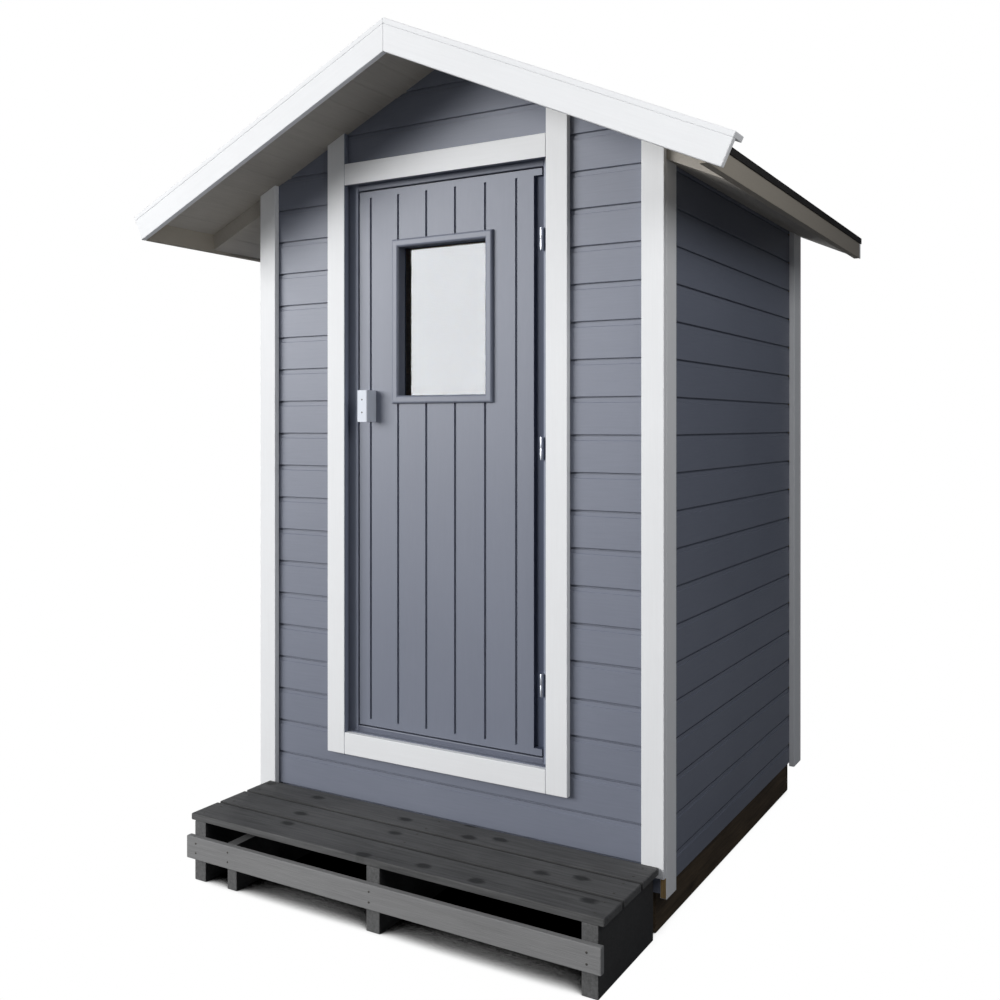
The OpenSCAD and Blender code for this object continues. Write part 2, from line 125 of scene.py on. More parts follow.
def timber(name, look, turn=level):
    # colour = the board's own shade, darkened by grain lines, slow blotches and knots, all in metres
    material, tree, shader = newMaterial(name)
    place = addNode(tree, "ShaderNodeTexCoord").outputs["Object"]
    turned = addNode(tree, "ShaderNodeMapping", {"Rotation": turn}, {"Vector": place}).outputs[0]
    stretched = addNode(tree, "ShaderNodeVectorMath",
                        {"operation": "MULTIPLY", 1: (1 / look["stretch"], 1, 1)}, {0: turned}).outputs[0]
    grain = addNode(tree, "ShaderNodeTexNoise",
                    {"Scale": 1 / look["grainWidth"], "Detail": grainLines["detail"],
                     "Roughness": grainLines["coarse"], "Distortion": grainLines["waver"]},
                    {"Vector": stretched}).outputs[0]
    fibre = addNode(tree, "ShaderNodeTexNoise",
                    {"Scale": fibreLines["finer"] / look["grainWidth"], "Detail": fibreLines["detail"],
                     "Roughness": fibreLines["coarse"]}, {"Vector": stretched}).outputs[0]
    blotch = addNode(tree, "ShaderNodeTexNoise", {"Scale": blotches["scale"], "Detail": blotches["detail"]},
                     {"Vector": place}).outputs[0]
    streak = addNode(tree, "ShaderNodeMapRange",
                     {"From Min": grainLines["from"], "From Max": grainLines["to"],
                      "To Min": 0.0, "To Max": look["grain"]},
                     {"Value": grain}).outputs[0]
    cloud = addNode(tree, "ShaderNodeMapRange",
                    {"From Min": blotches["from"], "From Max": blotches["to"],
                     "To Min": 0.0, "To Max": look["blotch"]},
                    {"Value": blotch}).outputs[0]
    dark = addNode(tree, "ShaderNodeMath", {"operation": "ADD"}, {0: streak, 1: cloud}).outputs[0]
    if look.get("board"):
        across, start, pitch, spread = look["board"]
        part = addNode(tree, "ShaderNodeSeparateXYZ", links={0: place}).outputs[across]
        count = addNode(tree, "ShaderNodeMath", {"operation": "SUBTRACT", 1: start}, {0: part}).outputs[0]
        count = addNode(tree, "ShaderNodeMath", {"operation": "DIVIDE", 1: pitch}, {0: count}).outputs[0]
        count = addNode(tree, "ShaderNodeMath", {"operation": "FLOOR"}, {0: count}).outputs[0]
        chance = addNode(tree, "ShaderNodeTexWhiteNoise", {"noise_dimensions": "1D"}, {"W": count}).outputs[0]
        chance = addNode(tree, "ShaderNodeMath", {"operation": "MULTIPLY", 1: spread}, {0: chance}).outputs[0]
        dark = addNode(tree, "ShaderNodeMath", {"operation": "ADD"}, {0: dark, 1: chance}).outputs[0]
    if look.get("knots"):
        spacing, size, depth = look["knots"]
        # knots lie in space, or where a look gives a knotPlane, in that plane, so that whole ones show
        plane = look.get("knotPlane", (0.5, 1, 1))
        dimensions = "2D" if "knotPlane" in look else "3D"
        spread = addNode(tree, "ShaderNodeVectorMath", {"operation": "MULTIPLY", 1: plane},
                         {0: turned}).outputs[0]
        wobble = addNode(tree, "ShaderNodeTexNoise",
                         {"Scale": knotWobble["scale"], "Detail": knotWobble["detail"]},
                         {"Vector": spread}).outputs[1]
        wobble = addNode(tree, "ShaderNodeVectorMath", {"operation": "SCALE", "Scale": knotWobble["reach"]},
                         {0: wobble}).outputs[0]
        spread = addNode(tree, "ShaderNodeVectorMath", {"operation": "ADD"},
                         {0: spread, 1: wobble}).outputs[0]
        distance = addNode(tree, "ShaderNodeTexVoronoi",
                           {"voronoi_dimensions": dimensions, "Scale": 1 / spacing},
                           {"Vector": spread}).outputs[0]
        knot = addNode(tree, "ShaderNodeMapRange",
                       {"From Min": 0.0, "From Max": size / spacing, "To Min": depth, "To Max": 0.0},
                       {"Value": distance}).outputs[0]
        dark = addNode(tree, "ShaderNodeMath", {"operation": "ADD"}, {0: dark, 1: knot}).outputs[0]
    colour = addNode(tree, "ShaderNodeMix",
                     {"data_type": "RGBA", 6: linearColour(look["colour"]), 7: linearColour(look["deep"])},
                     {0: dark}).outputs[2]
    rough = addNode(tree, "ShaderNodeMapRange",
                    {"To Min": look["rough"] - fibreLines["roughen"],
                     "To Max": look["rough"] + fibreLines["roughen"]}, {"Value": fibre}).outputs[0]
    height = addNode(tree, "ShaderNodeMath", {"operation": "ADD"}, {0: grain, 1: fibre}).outputs[0]
    bump = addNode(tree, "ShaderNodeBump", {"Strength": 1.0, "Distance": look["relief"]},
                   {"Height": height}).outputs[0]
    shader.inputs["IOR"].default_value = 1.5
    shader.inputs["Specular IOR Level"].default_value = look.get("gloss", 0.5)
    tree.links.new(colour, shader.inputs["Base Color"])
    tree.links.new(rough, shader.inputs["Roughness"])
    tree.links.new(bump, shader.inputs["Normal"])
    return material


# materials, each from what the real one is

# a look's board is (axis, start, pitch, shade from board to board), its knots are (spacing, size, depth)
courses = {"pitch": 0.1125, "joint": 1.891}      # siding courses: height of one, and one joint's height
alkydSiding = {"colour": "#797e8c", "deep": "#535866", "grain": 0.12, "blotch": 0.12, "grainWidth": 0.005,
               "stretch": 26, "rough": 0.46, "relief": 0.00015,
               "board": (onZ, courses["joint"], courses["pitch"], 0.07)}
alkydDoor = dict(alkydSiding, colour="#777c8a", grain=0.07, blotch=0.08, relief=0.0001, rough=0.44,
                 board=(onX, 0.035, 0.1127, 0.05))
# the door's paint drawn darker for the wide band's recess: painted shade
rebatePaintedShade = dict(alkydDoor, colour="#4b5162", deep="#3f4555", board=None, gloss=0.15)
alkydFrame = dict(alkydSiding, colour="#646978", deep="#4a4e5b", board=None, grain=0.2)
alkydWhite = {"colour": "#ecedee", "deep": "#c2c2c2", "grain": 0.07, "blotch": 0.08, "grainWidth": 0.006,
              "stretch": 30, "rough": 0.58, "relief": 0.0002, "gloss": 0.2}
stainedSoffit = {"colour": "#bcb7ae", "deep": "#968f86", "grain": 0.25, "blotch": 0.25, "grainWidth": 0.007,
                 "stretch": 22, "rough": 0.8, "relief": 0.0007, "gloss": 0.3}
treatedTimber = {"colour": "#5f503d", "deep": "#2c241b", "grain": 0.6, "blotch": 0.4, "grainWidth": 0.008,
                 "stretch": 18, "rough": 0.85, "relief": 0.0009, "gloss": 0.3, "knots": (0.32, 0.03, 0.5)}
rawSpruce = {"colour": "#c8a977", "deep": "#8f6d40", "grain": 0.5, "blotch": 0.25, "grainWidth": 0.007,
             "stretch": 24, "rough": 0.75, "relief": 0.0005, "gloss": 0.3, "knots": (0.3, 0.022, 0.6)}
stepStain = {"colour": "#646464", "deep": "#2a2a2a", "grain": 0.45, "blotch": 0.30, "grainWidth": 0.008,
             "stretch": 20, "rough": 0.74, "relief": 0.0008, "gloss": 0.35, "knots": (0.16, 0.019, 1.2),
             "knotPlane": (0.6, 1, 0)}
skirtStain = dict(stepStain, colour="#868686", deep="#5b5b5b", grain=0.25, blotch=0.15, knots=None)

materials = {
    # satin alkyd paint brushed on planed spruce: fine lines along each board, a soft sheen
    "siding": timber("alkydPaintedSiding", alkydSiding),
    "sidingDeep": timber("alkydPaintedSideSiding", alkydSiding, frontToBack),
    "door": timber("alkydPaintedDoor", alkydDoor, upright),
    # the wide band's recess on the door, in a darker copy of the door paint: painted shade
    "rebate": timber("alkydRebatePaintedShade", rebatePaintedShade, upright),
    # the jambs' frame paint drawn lighter than the head's: painted light on the jambs' side faces
    "frameUprightLit": timber("alkydJambPaintedLight",
                           dict(alkydFrame, colour="#8c92a1", deep="#70768a"), upright),
    "frameLevel": timber("alkydPaintedHead", alkydFrame, level),
    # white alkyd paint on fine-sawn spruce: faint raised fibres, a dull satin
    "whiteUpright": timber("whitePaintedUpright", alkydWhite, upright),
    "whiteLevel": timber("whitePaintedLevel", alkydWhite, level),
    "whiteLeft": timber("whitePaintedSlopeLeft", alkydWhite, slopeLeft),
    "whiteRight": timber("whitePaintedSlopeRight", alkydWhite, slopeRight),
    # the eave boards' white paint drawn grey-beige: painted shade
    "whiteEaveShade": timber("whiteEavePaintedShade",
                        dict(alkydWhite, colour="#a19a8e", deep="#7c766b"), frontToBack),
    # thin grey-white stain on rough boards, weathered, each board a little different
    "soffit": timber("stainedRoofBoards", dict(stainedSoffit, board=(onX, 0.0, 0.0865, 0.10)), frontToBack),
    # pressure-treated pine gone brown
    "treatedLong": timber("treatedTimberAlongX", treatedTimber, level),
    "treatedDeep": timber("treatedTimberAlongY", treatedTimber, frontToBack),
    # planed raw spruce: yellow-brown lines and knots
    "rawLevel": timber("rawSpruceLevel", rawSpruce, level),
    "rawSide": timber("rawSpruceSide", rawSpruce, frontToBack),
    "rawUpright": timber("rawSpruceUpright", rawSpruce, upright),
    "rawDeep": timber("rawSpruceFloor", dict(rawSpruce, board=(onX, 0.0, 0.095, 0.25)), frontToBack),
    # dark grey decking stain soaked into sawn spruce: matt, knots show as dark smudges
    "step": timber("stainedStepBoards", dict(stepStain, board=(onY, 0.0, 0.126, 0.12)), level),
    "stepDeep": timber("stainedStepJoists", dict(stepStain, colour="#6a6a6a"), frontToBack),
    # the sides of the step's boards and joists drawn near black: painted shade in the gaps and under the
    # boards
    "stepSidesShade": timber("stepSidesPaintedShade",
                       dict(stepStain, colour="#3e3e3e", deep="#222222", knots=None), level),
    "skirt": timber("stainedSkirt", skirtStain, level),
}


def mineralFelt():
    # bitumen felt with slate grit: nearly black, each grain its own shade, drawn 2 mm wide so that it shows,
    # where the real grit is 1 mm
    material, tree, shader = newMaterial("mineralFelt")
    place = addNode(tree, "ShaderNodeTexCoord").outputs["Object"]
    grit = addNode(tree, "ShaderNodeTexVoronoi", {"Scale": 500.0}, {"Vector": place})
    wear = addNode(tree, "ShaderNodeTexNoise", {"Scale": 4.0, "Detail": 4.0}, {"Vector": place}).outputs[0]
    shade = addNode(tree, "ShaderNodeMath", {"operation": "MULTIPLY"},
                    {0: grit.outputs[1], 1: wear}).outputs[0]
    colour = addNode(tree, "ShaderNodeValToRGB", links={0: shade},
                     stops=[(0.0, linearColour("#0f0e0d")), (1.0, linearColour("#4a4846"))]).outputs[0]
    bump = addNode(tree, "ShaderNodeBump", {"Strength": 0.8, "Distance": 0.0008},
                   {"Height": grit.outputs[0]}).outputs[0]
    shader.inputs["Roughness"].default_value = 0.88
    shader.inputs["Specular IOR Level"].default_value = 0.3
    tree.links.new(colour, shader.inputs["Base Color"])
    tree.links.new(bump, shader.inputs["Normal"])
    return material


def metal(name, colour, rough, spread, scale, bare=1.0):
    # a metal whose roughness varies with a fine noise; bare is nought where a lacquer covers the metal
    material, tree, shader = newMaterial(name)
    place = addNode(tree, "ShaderNodeTexCoord").outputs["Object"]
    cloud = addNode(tree, "ShaderNodeTexNoise", {"Scale": scale, "Detail": 3.0}, {"Vector": place}).outputs[0]
    varied = addNode(tree, "ShaderNodeMapRange", {"To Min": rough - spread, "To Max": rough + spread},
                     {"Value": cloud}).outputs[0]
    shader.inputs["Base Color"].default_value = linearColour(colour)
    shader.inputs["Metallic"].default_value = bare
    tree.links.new(varied, shader.inputs["Roughness"])
    return material


def paneGlass():
    # float glass, clear and smooth: it shows mostly what it reflects
    material, _, shader = newMaterial("floatGlass")
    shader.inputs["Base Color"].default_value = linearColour("#e8eef6")
    shader.inputs["Roughness"].default_value = 0.02
    shader.inputs["IOR"].default_value = 1.45
    shader.inputs["Transmission Weight"].default_value = 1.0
    return material


materials["felt"] = mineralFelt()
# bright zinc plating, soft highlights
materials["zinc"] = metal("zincPlatedSteel", "#dfe3ea", 0.38, 0.08, 90.0)
# silver lacquer over sheet aluminium, even and satin
materials["pull"] = metal("lacqueredAluminium", "#dce1ea", 0.62, 0.05, 160.0, 0.0)
# dull grey heads of galvanised nails and screws
materials["nail"] = metal("galvanisedNail", "#5b5955", 0.6, 0.1, 300.0)
materials["glass"] = paneGlass()
print("materials:", len(materials))


# surfaces

def stripFaces(rings, count, looped=False):
    # quads between neighbouring rings: points j and j+1 of ring i with the same two of ring i+1
    i = np.arange(rings if looped else rings - 1)[:, None]
    j = np.arange(count)[None, :]
    nextRing, nextPoint = (i + 1) % rings, (j + 1) % count
    return np.stack([i * count + j, i * count + nextPoint,
                     nextRing * count + nextPoint, nextRing * count + j], -1).reshape(-1, 4).tolist()


def insetRing(ring, by):
    # each corner moves in by the sum of its edges' inward normals over one plus their dot product
    edge = np.roll(ring, -1, 0) - ring
    edge /= np.linalg.norm(edge, axis=1)[:, None]
    inward = np.stack([-edge[:, 1], edge[:, 0]], -1)
    before = np.roll(inward, 1, 0)
    return ring + by * (inward + before) / (1 + (inward * before).sum(1))[:, None]


def easedRing(ring, ease, steps=3):
    # each corner becomes a parabola between the points one ease away along its two edges
    back = np.roll(ring, 1, 0) - ring
    ahead = np.roll(ring, -1, 0) - ring
    back = ring + back * (ease / np.linalg.norm(back, axis=1))[:, None]
    ahead = ring + ahead * (ease / np.linalg.norm(ahead, axis=1))[:, None]
    t = np.linspace(0, 1, steps + 1)[None, :, None]
    curve = (1 - t) ** 2 * back[:, None] + 2 * t * (1 - t) * ring[:, None] + t ** 2 * ahead[:, None]
    return curve.reshape(-1, 2)


def turnsLeft(ring):
    # half the sum of cross products gives the signed area, and a ring with a negative one is turned round
    area = (ring[:, 0] * np.roll(ring[:, 1], -1) - ring[:, 1] * np.roll(ring[:, 0], -1)).sum()
    return ring if area > 0 else ring[::-1]


def carried(rings, axis, places, marks=None):
    # each flat ring stands at its place along the axis, quads join them, and the two end rings are capped
    rings, places = np.asarray(rings), np.asarray(places)
    flat = [a for a in (onX, onY, onZ) if a != axis]
    points = np.zeros(rings.shape[:2] + (3,))
    points[..., flat[0]], points[..., flat[1]] = rings[..., 0], rings[..., 1]
    points[..., axis] = places[:, None]
    count = rings.shape[1]
    faces = stripFaces(len(rings), count)
    faces += [list(range(count))[::-1], list(range((len(rings) - 1) * count, len(rings) * count))]
    sideMarks = np.tile(np.zeros(count, int) if marks is None else marks, len(rings) - 1).tolist()
    return points.reshape(-1, 3), faces, sideMarks + [0, 0]


def easedPrism(ring, axis, start, end, ease):
    # the outline carried from start to end, its corners and both ends eased
    ring = turnsLeft(np.asarray(ring, float))
    insets = np.array([1, 0.3, 0, 0, 0.3, 1]) * ease
    places = np.array([start, start + 0.3 * ease, start + ease, end - ease, end - 0.3 * ease, end])
    return carried([easedRing(insetRing(ring, d), ease) for d in insets], axis, places)


def easedBox(low, high, ease):
    # a box as an outline carried along its longest side
    low, high = np.asarray(low, float), np.asarray(high, float)
    axis = int(np.argmax(high - low))
    a, b = [k for k in (onX, onY, onZ) if k != axis]
    ring = [[low[a], low[b]], [high[a], low[b]], [high[a], high[b]], [low[a], high[b]]]
    return easedPrism(ring, axis, low[axis], high[axis], ease)


def mergedShell(mesh):
    # a node's mesh is loose triangles: its doubles merge, and flat neighbours become one face
    shell = bmesh.new()
    shell.from_mesh(mesh)
    bmesh.ops.remove_doubles(shell, verts=shell.verts, dist=near["merge"])
    bmesh.ops.dissolve_limit(shell, angle_limit=math.radians(0.5), verts=shell.verts, edges=shell.edges)
    return shell


def outlinesOf(node, axis):
    # the outline of each solid's flat end that faces down the axis, with how far the solid runs
    shell = mergedShell(nodes[node].data)
    flat = [a for a in (onX, onY, onZ) if a != axis]
    found = []
    for face in shell.faces:
        if face.normal[axis] > -0.999:
            continue
        seen, waiting = set(face.verts), list(face.verts)
        while waiting:
            for edge in waiting.pop().link_edges:
                fresh = set(edge.verts) - seen
                seen |= fresh
                waiting += fresh
        along = [v.co[axis] for v in seen]
        ring = np.array([[v.co[a] for a in flat] for v in face.verts])
        found.append((ring, min(along), max(along)))
    shell.free()
    return found


def turnedSurface(profile, centre, axis, sides):
    # radius and height along the axis, turned once round it: x = r cos a, y = r sin a
    profile = np.asarray(profile, float)
    angle = np.linspace(0, 2 * np.pi, sides, endpoint=False)
    flat = [a for a in (onX, onY, onZ) if a != axis]
    points = np.zeros((len(profile), sides, 3))
    points[..., flat[0]] = profile[:, :1] * np.cos(angle)
    points[..., flat[1]] = profile[:, :1] * np.sin(angle)
    points[..., axis] = profile[:, 1:]
    points = points.reshape(-1, 3) + np.asarray(centre)
    faces = stripFaces(len(profile), sides)
    faces += [list(range(sides))[::-1], list(range((len(profile) - 1) * sides, len(profile) * sides))]
    return points, faces, [0] * len(faces)


def addPiece(name, parts, finishes, body, replaced=(), cut=None):
    # one object from several closed parts: (points, faces, finish number of each face)
    points, faces, marks, shift = [], [], [], 0
    for partPoints, partFaces, partMarks in parts:
        points.append(partPoints)
        faces += [[k + shift for k in face] for face in partFaces]
        marks += partMarks
        shift += len(partPoints)
    mesh = bpy.data.meshes.new(name)
    mesh.from_pydata(np.concatenate(points).tolist(), [], faces)
    for finish in finishes:
        mesh.materials.append(materials[finish])
    mesh.polygons.foreach_set("material_index", np.array(marks, np.int32))
    shell = bmesh.new()
    shell.from_mesh(mesh)
    bmesh.ops.remove_doubles(shell, verts=shell.verts, dist=near["weld"])
    if cut:
        cut(shell)
    bmesh.ops.recalc_face_normals(shell, faces=shell.faces)
    shell.to_mesh(mesh)
    shell.free()
    mesh.polygons.foreach_set("use_smooth", np.zeros(len(mesh.polygons), bool))
    mesh.update()
    piece = bpy.data.objects.new(name, mesh)
    bpy.context.scene.collection.objects.link(piece)
    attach(piece, body)
    if replaced:
        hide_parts(*replaced)
    return piece


def easedOutlines(node, ease):
    # the node's own outlines, carried along Y with eased arrises
    return [easedPrism(ring, onY, start, end, ease) for ring, start, end in outlinesOf(node, onY)]


def boardsFrom(name, node, ease, finish):
    addPiece(name, easedOutlines(node, ease), [finish], "cabin", [node])


# siding

siding = {"gap": 0.0055, "gapDepth": 0.0075, "lip": 0.0165, "lipDepth": 0.0024, "ease": 0.0016,
          "skin": 0.020, "clearLow": 0.02, "clearHigh": 0.005, "intoRoof": 0.02, "underDeck": 0.0001}


def sidingOutline(low, high, coreLow, thick):
    # up the face: at each joint the lower board's eased top, its recessed lip, the dark gap and then
    # the next board's edge
    first = math.ceil((low + siding["clearLow"] - courses["joint"]) / courses["pitch"])
    last = math.floor((high - siding["clearHigh"] - courses["joint"]) / courses["pitch"])
    joints = courses["joint"] + courses["pitch"] * np.arange(first, last + 1)
    s = siding
    step = np.array([[0, -s["lip"] - s["ease"]], [s["lipDepth"], -s["lip"]], [s["lipDepth"], -s["gap"]],
                     [s["gapDepth"], -s["gap"]], [s["gapDepth"], 0], [s["ease"], 0], [0, s["ease"]]])
    face = (step[None] + np.stack([np.zeros_like(joints), joints], -1)[:, None]).reshape(-1, 2)
    face = np.concatenate([[[0, low]], face, [[0, high]]])
    back = [[thick, high], [thick, coreLow]]
    if coreLow > low + near["place"]:
        back += [[s["skin"], coreLow], [s["skin"], low]]
    outline = np.concatenate([face, back])
    marks = np.where(np.arange(len(outline)) == len(face), 1, 0)      # only the inner face is left unpainted
    return outline, marks


def cutUnderRoof(shell):
    # everything above the two planes of the deck's underside goes, and each cut is closed
    apex = Vector((0, 0, roof["ridge"] - siding["underDeck"]))
    for side in (-1, 1):
        square = Vector((side * math.sin(roof["angle"]), 0, math.cos(roof["angle"])))
        every = shell.verts[:] + shell.edges[:] + shell.faces[:]
        cut = bmesh.ops.bisect_plane(shell, geom=every, dist=near["plane"], plane_co=apex, plane_no=square,
                                     clear_outer=True)
        rim = [e for e in cut["geom_cut"] if isinstance(e, bmesh.types.BMEdge)]
        if rim:
            bmesh.ops.holes_fill(shell, edges=rim, sides=0)


def sidingWall(name, node, axis, outward, coreLow):
    # the outline stands on the wall's outer face and is carried along the wall
    low, high = spanOf(node)
    depth = onY if axis == onX else onX
    face = high[depth] if outward > 0 else low[depth]
    outline, marks = sidingOutline(low[onZ], high[onZ] + siding["intoRoof"], coreLow,
                                   high[depth] - low[depth])
    outline = outline.copy()
    outline[:, 0] = face - outward * outline[:, 0]
    part = carried([outline, outline], axis, [low[axis], high[axis]], marks=marks)
    finishes = ["siding", "rawLevel"] if axis == onX else ["sidingDeep", "rawSide"]
    addPiece(name, [part], finishes, "cabin", [node], cut=cutUnderRoof)


baseTop = spanOf("base_front")[1][onZ]
sidingWall("sidingFrontLeft", "front_wall_left", onX, -1, baseTop)
sidingWall("sidingFrontRight", "front_wall_right", onX, -1, baseTop)
sidingWall("sidingOverDoor", "front_wall_over_door", onX, -1, spanOf("front_wall_over_door")[0][onZ])
sidingWall("sidingUnderDoor", "front_wall_under_door", onX, -1, baseTop)
sidingWall("sidingRear", "rear_wall", onX, 1, baseTop)
sidingWall("sidingLeft", "left_wall", onY, -1, baseTop)
sidingWall("sidingRight", "right_wall", onY, 1, baseTop)
print("siding done")


# casing, corner boards and door frame

trim = {"ease": 0.0022, "deep": 0.05}
frameEase = {"jamb": 0.002, "threshold": 0.003}


def casingBoard(word, finish, paint, axis, facing):
    # a white board whose faces towards the door are drawn in the frame's paint; on the side casings that is
    # the jambs' copy of it, drawn lighter as painted light
    node = "casing_" + word
    board = addPiece(node + "_board", easedOutlines(node, trim["ease"]), [finish, paint], "cabin",
                     [node])
    square = np.zeros(len(board.data.polygons) * 3)
    board.data.polygons.foreach_get("normal", square)
    painted = square[axis::3] * facing > squareOn
    board.data.polygons.foreach_set("material_index", painted.astype(np.int32))


casingBoard("left", "whiteUpright", "frameUprightLit", onX, 1)
casingBoard("right", "whiteUpright", "frameUprightLit", onX, -1)
casingBoard("head", "whiteLevel", "frameLevel", onZ, -1)
boardsFrom("casing_bottom_board", "casing_bottom", trim["ease"], "whiteLevel")


def cornerBoards(word, sawnCap):
    # the deeper board of each pair stands on the side wall, and its outer sawn edge is left unpainted
    parts = []
    for ring, start, end in outlinesOf("corner_boards_" + word, onY):
        points, faces, marks = easedPrism(ring, onY, start, end, trim["ease"])
        if end - start > trim["deep"]:
            marks[sawnCap] = 1
        parts.append((points, faces, marks))
    addPiece("cornerBoards_" + word, parts, ["whiteUpright", "rawUpright"], "cabin",
             ["corner_boards_" + word])


for word, sawnCap in (("front_left", -2), ("front_right", -2), ("rear_left", -1), ("rear_right", -1)):
    cornerBoards(word, sawnCap)


def easedCopy(name, node, ease, finish, body="cabin"):
    # a merged copy of a node whose shape is right, with its arrises bevelled
    mesh = nodes[node].data.copy()
    mesh.name = name
    shell = mergedShell(mesh)
    shell.to_mesh(mesh)
    shell.free()
    mesh.materials.clear()
    mesh.materials.append(materials[finish])
    piece = bpy.data.objects.new(name, mesh)
    bpy.context.scene.collection.objects.link(piece)
    bevel = piece.modifiers.new("arrises", "BEVEL")
    bevel.width, bevel.segments, bevel.limit_method = ease, 2, "ANGLE"
    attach(piece, body)
    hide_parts(node)


# the jambs take the frame paint drawn lighter, as painted light
easedCopy("jambLockSide", "door_jamb_lock_side", frameEase["jamb"], "frameUprightLit")
easedCopy("jambHingeSide", "door_jamb_hinge_side", frameEase["jamb"], "frameUprightLit")
easedCopy("frameHead", "door_head", frameEase["jamb"], "frameLevel")
easedCopy("frameThreshold", "door_threshold", frameEase["threshold"], "frameLevel")
print("trim and frame done")


# door leaf

leaf = {"grooves": (-0.303, -0.190, -0.077, 0.035, 0.148, 0.261), "width": 0.009, "depth": 0.006,
        "band": 0.323, "bandDepth": 0.013, "stop": 0.021, "stopEase": 0.0025, "rebate": 0.010,
        "moulding": 0.026, "lap": 0.006}


def leafPart():
    # a grid over the leaf's face: depth(x, z) = the grooves' depth at x, times one between the stops and
    # nought near them and under the moulding; the back is the same grid, flat, and strips join their rims
    low, high = spanOf("door_leaf")
    glassFront = spanOf("door_window_glass")[0][onY]
    trimLow, trimHigh = spanOf("door_window_trim")
    winLeft, winRight = trimLow[onX] + leaf["moulding"], trimHigh[onX] - leaf["moulding"]
    winLow, winHigh = trimLow[onZ] + leaf["moulding"], trimHigh[onZ] - leaf["moulding"]
    bends = np.array([-0.5, -0.3, 0.3, 0.5])
    grooveX = (np.array(leaf["grooves"])[:, None] + leaf["width"] * bends).ravel()
    grooveDepth = np.tile([0, leaf["depth"], leaf["depth"], 0], len(leaf["grooves"]))
    grooveX = np.append(grooveX, [leaf["band"], leaf["band"] + 0.001, high[onX]])
    grooveDepth = np.append(grooveDepth, [0, leaf["bandDepth"], leaf["bandDepth"]])
    under = leaf["moulding"] - leaf["lap"]
    stops = np.array([0.0, leaf["stopEase"]])
    xs = np.unique(np.round(np.concatenate([
        grooveX, [low[onX], high[onX], winLeft, winRight, winLeft - under, winRight + under]]), 6))
    zs = np.unique(np.round(np.concatenate([
        [low[onZ], high[onZ], winLow, winHigh],
        low[onZ] + leaf["stop"] + stops, high[onZ] - leaf["stop"] - stops,
        winLow - under + stops, winHigh + under - stops]), 6))
    depthX = np.interp(xs, grooveX, grooveDepth)
    close = near["row"]
    routed = (zs > low[onZ] + leaf["stop"] + close) & (zs < high[onZ] - leaf["stop"] - close)
    cover = (zs > winLow - under + close) & (zs < winHigh + under - close)
    inside = (xs > winLeft - under + close) & (xs < winRight + under - close)
    depth = depthX[None, :] * routed[:, None] * ~(cover[:, None] & inside[None, :])
    r = leaf["rebate"]
    backX = np.interp(xs, [low[onX], winLeft, winRight, high[onX]],
                      [low[onX], winLeft - r, winRight + r, high[onX]])
    backZ = np.interp(zs, [low[onZ], winLow, winHigh, high[onZ]],
                      [low[onZ], winLow - r, winHigh + r, high[onZ]])
    nx, nz = len(xs), len(zs)
    gx, gz = np.meshgrid(xs, zs)
    bx, bz = np.meshgrid(backX, backZ)
    front = np.stack([gx, low[onY] + depth, gz], -1).reshape(-1, 3)
    back = np.stack([bx, np.full_like(bx, high[onY]), bz], -1).reshape(-1, 3)
    i0, i1 = np.searchsorted(xs, winLeft - close), np.searchsorted(xs, winRight - close)
    j0, j1 = np.searchsorted(zs, winLow - close), np.searchsorted(zs, winHigh - close)
    jj, ii = np.meshgrid(np.arange(nz - 1), np.arange(nx - 1), indexing="ij")
    hole = (ii >= i0) & (ii < i1) & (jj >= j0) & (jj < j1)
    a = (jj * nx + ii)[~hole]
    cells = np.stack([a, a + 1, a + 1 + nx, a + nx], -1)
    rim = np.concatenate([np.arange(nx), np.arange(1, nz) * nx + nx - 1,
                          (nz - 1) * nx + np.arange(nx - 2, -1, -1), np.arange(nz - 2, 0, -1) * nx])
    well = np.concatenate([j0 * nx + np.arange(i0, i1 + 1), np.arange(j0 + 1, j1 + 1) * nx + i1,
                           j1 * nx + np.arange(i1 - 1, i0 - 1, -1), np.arange(j1 - 1, j0, -1) * nx + i0])
    size = nx * nz
    wellFront, wellBack = front[well].copy(), back[well].copy()
    wellFront[:, onY] = glassFront
    wellBack[:, onY] = glassFront
    points = np.concatenate([front, back, wellFront, wellBack])
    w = len(well)

    def between(first, second):
        return np.stack([first, np.roll(first, -1), np.roll(second, -1), second], -1)

    frontRing, backRing = 2 * size + np.arange(w), 2 * size + w + np.arange(w)
    faces = np.concatenate([cells, cells[:, ::-1] + size, between(rim, rim + size), between(well, frontRing),
                            between(frontRing, backRing), between(backRing, well + size)])
    middle = points[faces].mean(1)
    skin = 0.002      # faces this near the front or the back aren't part of the rebate
    # faces inside the wide band's recess take the darker paint: painted shade
    bandPaintedShade = ((middle[:, onX] > leaf["band"]) & (middle[:, onY] > low[onY] + skin)
              & (middle[:, onY] < high[onY] - skin))
    return points, faces.tolist(), bandPaintedShade.astype(int).tolist()


addPiece("doorLeaf", [leafPart()], ["door", "rebate"], "door", ["door_leaf"])


def framedLoop(left, right, low, high, profile):
    # a profile of (outward from the opening, forward in y) carried round four mitred corners
    profile = np.asarray(profile)
    side = np.array([[-1, -1], [1, -1], [1, 1], [-1, 1]])
    corner = np.array([[left, low], [right, low], [right, high], [left, high]])
    points = np.zeros((4, len(profile), 3))
    points[..., onX] = corner[:, None, 0] + side[:, None, 0] * profile[None, :, 0]
    points[..., onZ] = corner[:, None, 1] + side[:, None, 1] * profile[None, :, 0]
    points[..., onY] = profile[None, :, 1]
    faces = stripFaces(4, len(profile), looped=True)
    return points.reshape(-1, 3), faces, [0] * len(faces)


